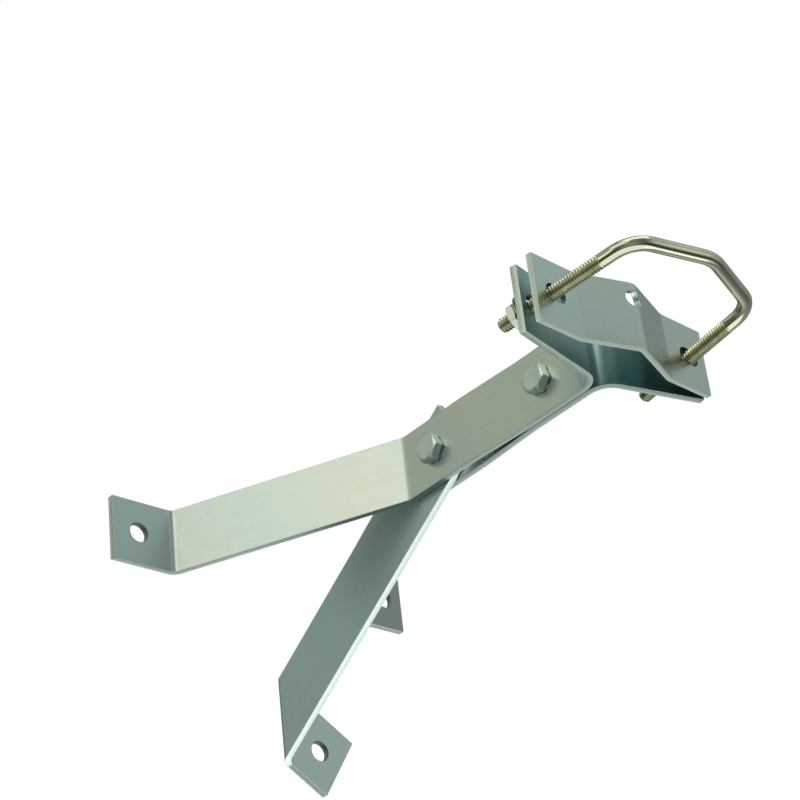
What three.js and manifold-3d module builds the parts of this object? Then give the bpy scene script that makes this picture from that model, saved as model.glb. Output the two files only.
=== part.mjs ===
import * as THREE from 'three';
import { mergeVertices } from 'three/addons/utils/BufferGeometryUtils.js';
import Module from 'manifold-3d';

// Wall stand-off bracket with a V-bolt clamp.
// Millimetres, +Z up. The wall is the plane y = 0 and the bracket stands off
// towards -Y. X runs along the wall. z = 0 is the middle of the two arms.

// ---- driving dimensions -------------------------------------------------
const STRIP_W = 30;          // width of the arms and the saddle plate
const T = 3;                 // thickness of the arms and the brace
const GAP = 0.25;            // gap between touching pieces

const STEM_Y_REAR = -103.3;  // where the legs leave the stems (virtual corner)
const Y_BOLT_REAR = -120.6;  // brace pivot bolt
const Y_BOLT_FRONT = -184.1; // front bolt
const TIP_Y0 = -213.33;      // flange front faces meet here at x = 0
const TIP_SLOPE = 0.2303;    // flange slant, dy/d|x|

const LEFT = { footIn: 53.6, footOut: 84.3, hole: 71.1, tip: 50.9, side: -1 };
const RIGHT = { footIn: 47.8, footOut: 74.6, hole: 64.5, tip: 47.0, side: 1 };
const FOOT_HOLE_R = 4.5;
const BOLT_HOLE_R = 3.6;
const R_FOOT = 4.5;          // bend radii, on the strip's centreline
const R_LEG = 9;
const R_FLANGE = 10;

const BRACE_TILT = 0.561;    // rad below horizontal
const BRACE_LO = -15, BRACE_HI = 17; // lower and upper edge, measured from the pivot
const BRACE_TOP = 13.8;      // how far the brace reaches past its pivot
const BRACE_FOOT = 24.0;     // short side of the brace foot
const BRACE_HOLE = 19.6, BRACE_HOLE_UP = 15; // along the foot, and above its lower edge
const R_BRACE = 2.6;

const SADDLE_HALF = 49.0;    // saddle plate, half length
const SADDLE_KINK = 24.7;
const SADDLE_RISE = 8.4;
const SADDLE_Y_RIGHT = -224.5; // back face at the right tip
const SADDLE_LIFT = 6.2;     // how far the left tip stands forward of the right
const SADDLE_Z = 0.3;
const SADDLE_T = 2.5;        // the plate is thinner than the arms
const R_SADDLE = 5;
const SADDLE_HOLE = { u: -0.5, z: 8.3, r: 3.65 };
const SADDLE_SLOT = { len: 10.6, h: 7.2, shift: 1.15 };   // shift: its middle lies this far inside the leg
const SLOT_LEN = 12;         // the flanges' slots for the V-bolt legs
const SLOT_H = 8;

const ROD_R = 3;             // V-bolt rod
const V_CORNER = 35.67;      // half width at the crown corners
const V_SPLAY = 0.102;       // each leg opens by this, rad
const V_LEG = 61.98;         // corner to leg end, along the bolt's axis
const V_RISE = 9.81;         // apex beyond the corners
const V_POS = [0, -241.03, 2.02];
const V_DEPTH = 24.51;       // corners this far in front of V_POS
const V_YAW = 0.096;
const V_PITCH = -0.134;
const R_CORNER = 13;
const R_APEX = 18;

const V_NUT_AF = 10, V_NUT_H = 3.6;          // V-bolt nuts, above their wide feet
const WASHER_R = 6.8, WASHER_H = 1.4;
const V_BORE_R = 3.32;
const HEAD_AF = 11.1, HEAD_H = 4.4;          // stem bolts
const NUT_AF = 11.1, NUT_H = 5.6;
const SHANK_R = 3.1, SHANK_L = 17.5, BORE_R = 3.42;

// ---- helpers ------------------------------------------------------------
const wasm = await Module();
wasm.setup();
const toSolid = (geo) => {
  let g = geo.clone();
  for (const a of Object.keys(g.attributes)) if (a !== 'position') g.deleteAttribute(a);
  g = mergeVertices(g, 1e-4);
  const idx = g.index.array, keep = [];
  for (let i = 0; i < idx.length; i += 3) {
    const a = idx[i], b = idx[i + 1], c = idx[i + 2];
    if (a !== b && b !== c && c !== a) keep.push(a, b, c);
  }
  return new wasm.Manifold(new wasm.Mesh({ numProp: 3, vertProperties: new Float32Array(g.attributes.position.array), triVerts: new Uint32Array(keep) }));
};
const toGeo = (solid) => {
  const m = solid.getMesh();
  const g = new THREE.BufferGeometry();
  g.setAttribute('position', new THREE.BufferAttribute(new Float32Array(m.vertProperties), 3));
  g.setIndex(Array.from(m.triVerts));
  g.computeVertexNormals();
  return g;
};
const zinc = (color, roughness = 0.3) => new THREE.MeshStandardMaterial({ color, roughness, metalness: 1.0 });
const mesh = (name, geo, mat) => { const m = new THREE.Mesh(geo, mat); m.name = name; return m; };

// A plan-view path with rounded corners: points are [x, y, radius].
const roundedPath = (pts, step = 0.22) => {
  const out = [];
  pts.forEach(([x, y, r], i) => {
    if (i === 0 || i === pts.length - 1 || !r) { out.push(new THREE.Vector2(x, y)); return; }
    const P = new THREE.Vector2(x, y);
    const a = new THREE.Vector2(pts[i - 1][0], pts[i - 1][1]).sub(P).normalize();
    const b = new THREE.Vector2(pts[i + 1][0], pts[i + 1][1]).sub(P).normalize();
    const half = Math.acos(a.dot(b)) / 2;
    const tan = r / Math.tan(half);
    const mid = a.clone().add(b).normalize();
    const C = P.clone().addScaledVector(mid, r / Math.sin(half));
    const p0 = P.clone().addScaledVector(a, tan), p1 = P.clone().addScaledVector(b, tan);
    const a0 = Math.atan2(p0.y - C.y, p0.x - C.x);
    let da = Math.atan2(p1.y - C.y, p1.x - C.x) - a0;
    while (da > Math.PI) da -= 2 * Math.PI;
    while (da < -Math.PI) da += 2 * Math.PI;
    const n = Math.max(2, Math.ceil(Math.abs(da) / step));
    for (let k = 0; k <= n; k++) out.push(new THREE.Vector2(C.x + r * Math.cos(a0 + da * k / n), C.y + r * Math.sin(a0 + da * k / n)));
  });
  return out;
};
// The two sides of a strip of thickness t around a path, as one outline.
const stripShape = (path, t) => {
  const left = [], right = [];
  path.forEach((p, i) => {
    const d0 = i > 0 ? p.clone().sub(path[i - 1]).normalize() : null;
    const d1 = i < path.length - 1 ? path[i + 1].clone().sub(p).normalize() : null;
    const d = d0 && d1 ? d0.clone().add(d1).normalize() : (d0 || d1);
    const k = d0 && d1 ? 1 / d.dot(d1) : 1;
    const n = new THREE.Vector2(-d.y, d.x).multiplyScalar(t / 2 * k);
    left.push(p.clone().add(n)); right.push(p.clone().sub(n));
  });
  return new THREE.Shape([...left, ...right.reverse()]);
};
const plate = (shape, depth) => {
  const g = new THREE.ExtrudeGeometry(shape, { depth, bevelEnabled: false });
  g.translate(0, 0, -depth / 2);
  return g;
};
// A cutter: a rounded slot or a round hole, standing on `dir` at `pos`,
// with its long side along `along`.
const cutter = (pos, dir, along, r, len = 0, depth = 12) => {
  const s = new THREE.Shape(), h = Math.max(0, len / 2 - r), N = 12;
  const pts = [];
  for (let k = 0; k <= N; k++) { const a = -Math.PI / 2 + Math.PI * k / N; pts.push(new THREE.Vector2(h + r * Math.cos(a), r * Math.sin(a))); }
  for (let k = h > 0 ? 0 : 1; k <= (h > 0 ? N : N - 1); k++) { const a = Math.PI / 2 + Math.PI * k / N; pts.push(new THREE.Vector2(-h + r * Math.cos(a), r * Math.sin(a))); }
  s.setFromPoints(pts);
  const g = plate(s, depth);
  const z = new THREE.Vector3(...dir).normalize(), x = new THREE.Vector3(...along).normalize();
  const y = new THREE.Vector3().crossVectors(z, x).normalize();
  g.applyMatrix4(new THREE.Matrix4().makeBasis(x, y, z).setPosition(...pos));
  return toSolid(g);
};
const hexGeo = (af, h) => new THREE.CylinderGeometry(af / Math.sqrt(3), af / Math.sqrt(3), h, 6).rotateX(Math.PI / 2);
const cylGeo = (r, h, n = 20) => new THREE.CylinderGeometry(r, r, h, n).rotateX(Math.PI / 2);

// ---- V-bolt frame and legs ----------------------------------------------
const vRot = new THREE.Matrix4().makeRotationX(V_PITCH).multiply(new THREE.Matrix4().makeRotationZ(V_YAW));
const vMat = new THREE.Matrix4().makeTranslation(...V_POS).multiply(vRot);
const vPoint = (x, y) => new THREE.Vector3(x, y, 0).applyMatrix4(vMat);
const vDir = (x, y) => new THREE.Vector3(x, y, 0).transformDirection(vRot).normalize();
const legDir = (side) => vDir(side * Math.sin(V_SPLAY), Math.cos(V_SPLAY)); // towards the leg's end
const legPoint = (side) => vPoint(side * V_CORNER, -V_DEPTH);
// where a leg crosses a plane through p with normal n
const legHit = (side, p, n) => {
  const o = legPoint(side), d = legDir(side);
  return o.clone().addScaledVector(d, p.clone().sub(o).dot(n) / d.dot(n));
};

// ---- arms ---------------------------------------------------------------
const flangeNormal = (side) => new THREE.Vector3(-side * TIP_SLOPE, -1, 0).normalize(); // towards the mast
const flangeAlong = (side) => new THREE.Vector3(side, -TIP_SLOPE, 0).normalize();       // towards the tip
const buildArm = (name, D) => {
  const s = D.side;
  const xRear = s * (T / 2 + GAP + T / 2), xFront = s * (GAP / 2 + T / 2 + 0.03);
  // the leg's outer face runs from the stem's outer face to the foot's front face
  const p1 = new THREE.Vector2(s * (T / 2 + GAP + T), STEM_Y_REAR), p2 = new THREE.Vector2(s * D.footIn, -T);
  const d = p2.clone().sub(p1).normalize();
  let n = new THREE.Vector2(d.y, -d.x); if (n.dot(new THREE.Vector2(-s, 0)) < 0) n.negate();
  const q = p1.clone().addScaledVector(n, T / 2);
  // centreline corners of the leg with the foot and the stem
  const kFoot = (-T / 2 - q.y) / d.y, kStem = (xRear - q.x) / d.x;
  const foot = q.clone().addScaledVector(d, kFoot), stem = q.clone().addScaledVector(d, kStem);
  // centreline of the flange
  const nf = flangeNormal(s), al = flangeAlong(s);
  const f0 = new THREE.Vector2(0, TIP_Y0).sub(new THREE.Vector2(nf.x, nf.y).multiplyScalar(T / 2));
  const root = f0.clone().addScaledVector(new THREE.Vector2(al.x, al.y), (xFront - f0.x) / al.x);
  const tip = f0.clone().addScaledVector(new THREE.Vector2(al.x, al.y), (s * D.tip - f0.x - s * 0.3) / al.x);
  const path = roundedPath([
    [s * D.footOut, -T / 2, 0], [foot.x, foot.y, R_FOOT], [stem.x, stem.y, R_LEG],
    [xRear, Y_BOLT_REAR - 20, 30], [xFront, Y_BOLT_FRONT + 12, 30], [root.x, root.y, R_FLANGE], [tip.x, tip.y, 0],
  ]);
  let body = toSolid(plate(stripShape(path, T), STRIP_W));
  body = body.subtract(cutter([s * D.hole, -T / 2, 0], [0, 1, 0], [1, 0, 0], FOOT_HOLE_R));
  for (const y of [Y_BOLT_REAR, Y_BOLT_FRONT]) body = body.subtract(cutter([0, y, 0], [1, 0, 0], [0, 1, 0], BOLT_HOLE_R, 0, 16));
  const hit = legHit(s, new THREE.Vector3(0, TIP_Y0, 0).addScaledVector(nf, -T / 2), nf);
  const c = hit.clone().addScaledVector(al, -1.5); c.z = 0;
  body = body.subtract(cutter(c.toArray(), nf.toArray(), al.toArray(), SLOT_H / 2, SLOT_LEN, 8));
  return mesh(name, toGeo(body), zinc(0xaab4b0));
};

// ---- brace: a flat bar folded along an upright line into its foot ---------
const buildBrace = () => {
  const c = Math.cos(BRACE_TILT), s = Math.sin(BRACE_TILT), lo = BRACE_LO, hi = BRACE_HI;
  // developed sheet: h along the wall-normal then along the foot, z up
  const yc = -T / 2;                                     // centreline of the foot
  const arc = R_BRACE * Math.PI / 2, hFold = yc - R_BRACE; // the bend starts at y = hFold
  const corner = (a, b) => new THREE.Vector2(Y_BOLT_REAR + a * c + b * s, -a * s + b * c);
  const sShort = (-T - Y_BOLT_REAR - lo * s) / c;        // lower edge reaches the fold
  const L = sShort + BRACE_FOOT;
  const quad = [corner(-BRACE_TOP, hi), corner(-BRACE_TOP, lo), corner(L, lo), corner(L, hi)];
  const hs = new Set(quad.map((p) => p.x));
  for (let k = 0; k <= 8; k++) hs.add(hFold + arc * k / 8);
  const H = [...hs].sort((a, b) => a - b);
  const span = (h) => {
    const zs = [];
    for (let i = 0; i < 4; i++) {
      const a = quad[i], b = quad[(i + 1) % 4];
      if ((h >= Math.min(a.x, b.x) - 1e-9) && (h <= Math.max(a.x, b.x) + 1e-9)) zs.push(a.y + (b.y - a.y) * (h - a.x) / (b.x - a.x));
    }
    return [Math.min(...zs), Math.max(...zs)];
  };
  const fold = (h, t) => { // t across the thickness, t > 0 on the -X side, then on the wall side
    if (h <= hFold) return [-t, h];
    const a = Math.min(1, (h - hFold) / arc) * Math.PI / 2, rr = R_BRACE + t;
    const rest = Math.max(0, h - hFold - arc);
    return [R_BRACE - rr * Math.cos(a) + rest, hFold + rr * Math.sin(a)];
  };
  const g = new THREE.BoxGeometry(1, 1, T, H.length - 1, 1, 1);
  const pos = g.attributes.position;
  for (let i = 0; i < pos.count; i++) {
    const k = Math.round((pos.getX(i) + 0.5) * (H.length - 1));
    const [z0, z1] = span(H[k]);
    const z = pos.getY(i) > 0 ? z1 : z0;
    const [x, y] = fold(H[k], -pos.getZ(i));
    pos.setXYZ(i, x, y, z);
  }
  let body = toSolid(g);
  body = body.subtract(cutter([0, Y_BOLT_REAR, 0], [1, 0, 0], [0, 1, 0], BOLT_HOLE_R, 0, 12));
  const hole = [T / 2 + BRACE_HOLE * c, -T / 2, corner(sShort, lo).y + BRACE_HOLE_UP / c - BRACE_HOLE * s];
  body = body.subtract(cutter(hole, [0, 1, 0], [1, 0, 0], FOOT_HOLE_R));
  return mesh('brace_leg', toGeo(body), zinc(0x8f9c98));
};

// ---- saddle plate ---------------------------------------------------------
const saddleYaw = Math.atan2(SADDLE_LIFT, LEFT.tip + RIGHT.tip);
const buildSaddle = () => {
  const a = Math.atan2(SADDLE_RISE, SADDLE_KINK);
  // centreline, local: x along the plate, -y towards the mast
  const path = roundedPath([
    [-SADDLE_HALF, -T / 2, 0], [-SADDLE_KINK - 0.4, -T / 2, R_SADDLE], [0, -T / 2 - SADDLE_RISE, R_SADDLE + 1],
    [SADDLE_KINK + 0.4, -T / 2, R_SADDLE], [SADDLE_HALF, -T / 2, 0],
  ], 0.12);
  let body = toSolid(plate(stripShape(path, SADDLE_T), STRIP_W));
  const m = mesh('saddle_plate', new THREE.BufferGeometry(), zinc(0xa3b0ac));
  m.position.set((RIGHT.tip - LEFT.tip) / 2, SADDLE_Y_RIGHT - SADDLE_LIFT / 2, SADDLE_Z);
  m.rotation.z = saddleYaw;
  m.updateMatrix();
  const inv = m.matrix.clone().invert();
  for (const side of [-1, 1]) {
    const nw = new THREE.Vector3(0, -1, 0).transformDirection(m.matrix);
    const hit = legHit(side, new THREE.Vector3(0, -T / 2, 0).applyMatrix4(m.matrix), nw).applyMatrix4(inv);
    body = body.subtract(cutter([hit.x - side * SADDLE_SLOT.shift, -T / 2, hit.z], [0, 1, 0], [1, 0, 0], SADDLE_SLOT.h / 2, SADDLE_SLOT.len, 8));
  }
  body = body.subtract(cutter([SADDLE_HOLE.u, -T / 2 - SADDLE_RISE, SADDLE_HOLE.z - SADDLE_Z], [Math.sin(a) * 0.6, 1, 0], [1, -Math.sin(a) * 0.6, 0], SADDLE_HOLE.r, 0, 14));
  m.geometry = toGeo(body);
  return m;
};

// ---- V-bolt ---------------------------------------------------------------
const buildVBolt = () => {
  const end = V_CORNER + V_LEG * Math.tan(V_SPLAY);
  const pts = roundedPath([
    [-end, V_LEG - V_DEPTH, 0], [-V_CORNER, -V_DEPTH, R_CORNER], [0, -V_DEPTH - V_RISE, R_APEX],
    [V_CORNER, -V_DEPTH, R_CORNER], [end, V_LEG - V_DEPTH, 0],
  ], 0.16);
  const curve = new THREE.CurvePath();
  for (let i = 0; i + 1 < pts.length; i++) {
    curve.add(new THREE.LineCurve3(new THREE.Vector3(pts[i].x, pts[i].y, 0), new THREE.Vector3(pts[i + 1].x, pts[i + 1].y, 0)));
  }
  const ring = new THREE.Shape();
  const N = 16;
  ring.setFromPoints(Array.from({ length: N }, (_, k) => new THREE.Vector2(ROD_R * Math.cos(2 * Math.PI * (k + 0.5) / N), ROD_R * Math.sin(2 * Math.PI * (k + 0.5) / N))));
  const g = new THREE.ExtrudeGeometry(ring, { steps: 96, bevelEnabled: false, extrudePath: curve });
  const m = mesh('v_bolt', toGeo(toSolid(g)), zinc(0xb4b497, 0.25));
  m.applyMatrix4(vMat);
  return m;
};

// ---- V-bolt nuts with their captive washers ---------------------------------
const buildVNut = (side, tag) => {
  const nf = flangeNormal(side), u = legDir(side);
  const back = new THREE.Vector3(0, TIP_Y0, 0).addScaledVector(nf, -T);
  const hit = legHit(side, back, nf);
  const lean = Math.acos(Math.abs(u.dot(nf)));
  const off = (WASHER_R * Math.sin(lean) + GAP) / Math.cos(lean);
  const frame = new THREE.Object3D();
  frame.position.copy(hit).addScaledVector(u, off);
  frame.quaternion.setFromUnitVectors(new THREE.Vector3(0, 0, 1), u);
  frame.updateMatrix();
  const prof = [[V_BORE_R, 0], [WASHER_R - 0.3, 0], [WASHER_R, 0.3], [WASHER_R, 0.6], [V_NUT_AF / 2 + 0.4, WASHER_H], [V_BORE_R, WASHER_H], [V_BORE_R, 0]];
  const wg = new THREE.LatheGeometry(prof.map(([x, y]) => new THREE.Vector2(x, y)), 32).rotateX(Math.PI / 2);
  const w = mesh('nut_washer_' + tag, toGeo(toSolid(wg)), zinc(0xa9b2ac));
  w.applyMatrix4(frame.matrix);
  const bore = toSolid(cylGeo(V_BORE_R, 20, 24));
  const nut = toSolid(hexGeo(V_NUT_AF, V_NUT_H).translate(0, 0, WASHER_H + GAP + V_NUT_H / 2)).subtract(bore);
  const n = mesh('clamp_nut_' + tag, toGeo(nut), zinc(0x8d9691));
  n.applyMatrix4(frame.matrix);
  return [w, n];
};

// ---- stem bolts and nuts -----------------------------------------------------
const buildStemBolt = (tag, y, xFace, turn) => {
  // local z runs along the shank, from the head towards the nut
  const toX = new THREE.Matrix4().makeRotationY(Math.PI / 2);
  const head = toSolid(hexGeo(HEAD_AF, HEAD_H).translate(0, 0, -HEAD_H / 2).rotateZ(turn));
  const shank = toSolid(cylGeo(SHANK_R, SHANK_L + 0.5, 20).translate(0, 0, SHANK_L / 2 - 0.25));
  const b = mesh('stem_bolt_' + tag, toGeo(head.add(shank)), zinc(0xb5bcb8, 0.25));
  b.applyMatrix4(new THREE.Matrix4().makeTranslation(-xFace - GAP, y, 0).multiply(toX));
  const nut = toSolid(hexGeo(NUT_AF, NUT_H).translate(0, 0, NUT_H / 2).rotateZ(turn * 1.7)).subtract(toSolid(cylGeo(BORE_R, 30, 24)));
  const n = mesh('stem_nut_' + tag, toGeo(nut), zinc(0xa9b2ac));
  n.applyMatrix4(new THREE.Matrix4().makeTranslation(xFace + GAP, y, 0).multiply(toX));
  return [b, n];
};

const bracket = new THREE.Group();
bracket.add(
  buildArm('arm_left', LEFT),
  buildArm('arm_right', RIGHT),
  buildBrace(),
  buildSaddle(),
  buildVBolt(),
  ...buildVNut(-1, 'left'),
  ...buildVNut(1, 'right'),
  ...buildStemBolt('front', Y_BOLT_FRONT, GAP / 2 + T + 0.03, 0.26),
  ...buildStemBolt('rear', Y_BOLT_REAR, T / 2 + GAP + T, 0.12),
);

export default bracket;
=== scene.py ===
import math

import bpy
import numpy as np
from mathutils import Matrix, Vector
from mathutils.geometry import delaunay_2d_cdt


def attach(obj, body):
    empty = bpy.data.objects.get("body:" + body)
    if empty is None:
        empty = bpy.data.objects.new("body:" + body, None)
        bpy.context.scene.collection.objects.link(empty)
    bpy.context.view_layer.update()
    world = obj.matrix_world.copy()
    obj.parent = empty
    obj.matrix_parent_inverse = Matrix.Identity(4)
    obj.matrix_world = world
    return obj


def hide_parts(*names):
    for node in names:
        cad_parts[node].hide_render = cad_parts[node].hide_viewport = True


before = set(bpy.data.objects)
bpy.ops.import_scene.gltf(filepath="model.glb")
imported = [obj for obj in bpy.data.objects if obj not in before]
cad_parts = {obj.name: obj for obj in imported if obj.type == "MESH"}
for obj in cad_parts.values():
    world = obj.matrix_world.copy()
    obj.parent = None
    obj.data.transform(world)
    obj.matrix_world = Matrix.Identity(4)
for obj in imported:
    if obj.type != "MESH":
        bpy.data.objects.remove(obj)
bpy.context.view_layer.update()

# ---------------------------------------------------------------- dimensions, mm
STRIP_W, T, GAP = 30.0, 3.0, 0.25
STEM_Y_REAR, Y_BOLT_REAR, Y_BOLT_FRONT = -103.3, -120.6, -184.1
TIP_Y0, TIP_SLOPE = -213.33, 0.2303
LEFT = dict(foot_in=53.6, foot_out=84.3, hole=71.1, tip=50.9, side=-1)
RIGHT = dict(foot_in=47.8, foot_out=74.6, hole=64.5, tip=47.0, side=1)
FOOT_HOLE_R, BOLT_HOLE_R = 4.5, 3.6
R_FOOT, R_LEG, R_FLANGE = 4.5, 9.0, 10.0
BRACE_TILT, BRACE_TOP, BRACE_FOOT, BRACE_HOLE, R_BRACE = 0.561, 13.8, 24.0, 19.6, 2.6
BRACE_LO, BRACE_HI, BRACE_HOLE_UP = -15.0, 17.0, 15.0
SADDLE_HALF, SADDLE_KINK, SADDLE_RISE = 49.0, 24.7, 8.4
SADDLE_Y_RIGHT, SADDLE_LIFT, SADDLE_Z, R_SADDLE, SADDLE_T = -224.5, 6.2, 0.3, 5.0, 2.5
SADDLE_HOLE = dict(u=-0.5, z=8.3, r=3.65)
SLOT_LEN, SLOT_H = 12.0, 8.0
SADDLE_SLOT = dict(len=10.6, h=7.2, shift=1.15)
ROD_R, V_CORNER, V_SPLAY, V_LEG, V_RISE = 3.0, 35.67, 0.102, 61.98, 9.81
V_POS, V_DEPTH, V_YAW, V_PITCH = (0.0, -241.03, 2.02), 24.51, 0.096, -0.134
R_CORNER, R_APEX = 13.0, 18.0
THREAD_LEFT, THREAD_RIGHT = 48.0, 50.0
V_NUT_AF, V_NUT_H, WASHER_R, WASHER_H, V_BORE_R = 10.0, 3.6, 6.8, 1.4, 3.32
HEAD_AF, HEAD_H, NUT_AF, NUT_H = 11.1, 4.4, 11.1, 5.6
SHANK_R, SHANK_L, BORE_R = 3.1, 17.5, 3.42
PITCH, THREAD_D = 1.27, 0.54   # every thread, and its depth
EDGE_R = 0.20          # rounding of the strips' cut edges
CORNER_R = 0.45        # rounding of the strips' corners, in the plane


# ---------------------------------------------------------------- mesh helpers
def unit(v):
    v = np.asarray(v, float)
    return v / np.maximum(np.linalg.norm(v, axis=-1, keepdims=True), 1e-12)


def build(name, verts, faces, mats, body, nodes, mat_ids=None, uv=None, normals=None, power=2.0):
    """A closed mesh in millimetres becomes a piece that rides on a CAD body and replaces its nodes."""
    verts = np.asarray(verts, float)
    tri = []
    for f in faces:
        for k in range(1, len(f) - 1):
            tri.append((f[0], f[k], f[k + 1]))
    tri = np.array(tri)
    a, b, c = verts[tri[:, 0]], verts[tri[:, 1]], verts[tri[:, 2]]
    if np.einsum("ij,ij->i", a, np.cross(b, c)).sum() < 0:
        faces = [tuple(reversed(f)) for f in faces]
    me = bpy.data.meshes.new(name)
    me.from_pydata([tuple(v) for v in verts * 0.001], [], faces)
    for m in mats:
        me.materials.append(m)
    if mat_ids is not None:
        me.polygons.foreach_set("material_index", np.array(mat_ids, np.int32))
    me.polygons.foreach_set("use_smooth", np.ones(len(me.polygons), bool))
    if uv is not None:
        layer = me.uv_layers.new(name="sheet")
        idx = np.zeros(len(me.loops), np.int32)
        me.loops.foreach_get("vertex_index", idx)
        layer.data.foreach_set("uv", (np.asarray(uv, float)[idx] * 0.01).astype(np.float32).ravel())
    if normals is None:
        n = np.zeros((len(verts), 3))
        for p in me.polygons:
            w = (p.area * 1e6) ** power
            for i in p.vertices:
                n[i] += w * np.array(p.normal)
        normals = unit(n)
    me.update()
    me.normals_split_custom_set_from_vertices([tuple(v) for v in normals])
    ob = bpy.data.objects.new(name, me)
    bpy.context.scene.collection.objects.link(ob)
    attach(ob, body)
    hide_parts(*nodes)
    return ob


class Path:
    """A plan-view line with rounded corners, walked by its length. Points are (x, y, radius)."""

    def __init__(self, pts):
        self.segs, self.bends = [], []
        cur = np.array(pts[0][:2], float)
        s = 0.0
        for i in range(1, len(pts) - 1):
            P = np.array(pts[i][:2], float)
            r = pts[i][2]
            a = unit(np.array(pts[i - 1][:2], float) - P)
            b = unit(np.array(pts[i + 1][:2], float) - P)
            half = math.acos(float(np.clip(a @ b, -1, 1))) / 2
            tan = r / math.tan(half)
            C = P + unit(a + b) * r / math.sin(half)
            p0, p1 = P + a * tan, P + b * tan
            a0 = math.atan2(p0[1] - C[1], p0[0] - C[0])
            da = math.atan2(p1[1] - C[1], p1[0] - C[0]) - a0
            while da > math.pi:
                da -= 2 * math.pi
            while da < -math.pi:
                da += 2 * math.pi
            l = float(np.linalg.norm(p0 - cur))
            self.segs.append(("L", s, s + l, cur, p0))
            s += l
            l = abs(da) * r
            self.segs.append(("A", s, s + l, C, r, a0, da))
            self.bends.append((s, s + l, r))
            s += l
            cur = p1
        last = np.array(pts[-1][:2], float)
        l = float(np.linalg.norm(last - cur))
        self.segs.append(("L", s, s + l, cur, last))
        self.length = s + l

    def at(self, s):
        s = np.asarray(s, float)
        p, t = np.zeros(s.shape + (2,)), np.zeros(s.shape + (2,))
        for k, g in enumerate(self.segs):
            m = (s >= g[1] - 1e-9) if k else np.ones(s.shape, bool)
            if not m.any():
                continue
            q = s[m] - g[1]
            if g[0] == "L":
                d = unit(g[4] - g[3])
                p[m], t[m] = g[3] + q[:, None] * d, d
            else:
                _, s0, s1, C, r, a0, da = g
                a = a0 + da * q / (s1 - s0)
                e = np.stack([np.cos(a), np.sin(a)], -1)
                p[m] = C + r * e
                t[m] = np.sign(da) * np.stack([-e[:, 1], e[:, 0]], -1)
        return p, t

    def where(self, xy=None, y=None):
        s = np.linspace(0, self.length, 20001)
        p, _ = self.at(s)
        d = np.abs(p[:, 1] - y) if xy is None else np.hypot(p[:, 0] - xy[0], p[:, 1] - xy[1])
        return float(s[d.argmin()])


def rounded(corners, r, step=0.6, n=6):
    """A counter-clockwise polygon with rounded corners and closely spaced points."""
    out = []
    m = len(corners)
    C = [np.array(c, float) for c in corners]
    ends = []
    for i in range(m):
        P, a, b = C[i], unit(C[i - 1] - C[i]), unit(C[(i + 1) % m] - C[i])
        half = math.acos(float(np.clip(a @ b, -1, 1))) / 2
        t = r / math.tan(half)
        O = P + unit(a + b) * r / math.sin(half)
        p0, p1 = P + a * t, P + b * t
        a0 = math.atan2(p0[1] - O[1], p0[0] - O[0])
        da = math.atan2(p1[1] - O[1], p1[0] - O[0]) - a0
        while da < -math.pi:
            da += 2 * math.pi
        while da > math.pi:
            da -= 2 * math.pi
        ends.append([O + r * np.array([math.cos(a0 + da * k / n), math.sin(a0 + da * k / n)]) for k in range(n + 1)])
    for i in range(m):
        out += ends[i]
        p, q = ends[i][-1], ends[(i + 1) % m][0]
        k = max(1, int(round(np.linalg.norm(q - p) / step)))
        out += [p + (q - p) * j / k for j in range(1, k)]
    return np.array(out)


def round_hole(c, r, n=60):
    a = -np.linspace(0, 2 * math.pi, n, endpoint=False)
    return np.stack([c[0] + r * np.cos(a), c[1] + r * np.sin(a)], -1)


def slot_hole(c, length, height, n=18):
    r, h = height / 2, length / 2 - height / 2
    a = -np.linspace(math.pi / 2, 3 * math.pi / 2, n + 1)
    right = np.stack([c[0] + h + r * np.cos(-a + math.pi), c[1] + r * np.sin(-a + math.pi)], -1)
    left = 2 * np.array(c) - right
    loop = np.concatenate([right, left])
    x, y = loop[:, 0], loop[:, 1]
    area = 0.5 * float(np.sum(x * np.roll(y, -1) - np.roll(x, -1) * y))
    return loop if area < 0 else loop[::-1].copy()


def inside(poly, q):
    """Which of the points q lie inside a polygon."""
    x, y = q[:, 0], q[:, 1]
    res = np.zeros(len(q), bool)
    x0, y0 = poly[:, 0], poly[:, 1]
    x1, y1 = np.roll(x0, -1), np.roll(y0, -1)
    for i in range(len(poly)):
        if y0[i] == y1[i]:
            continue
        cross = ((y0[i] > y) != (y1[i] > y)) & (x < (x1[i] - x0[i]) * (y - y0[i]) / (y1[i] - y0[i]) + x0[i])
        res ^= cross
    return res


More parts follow.
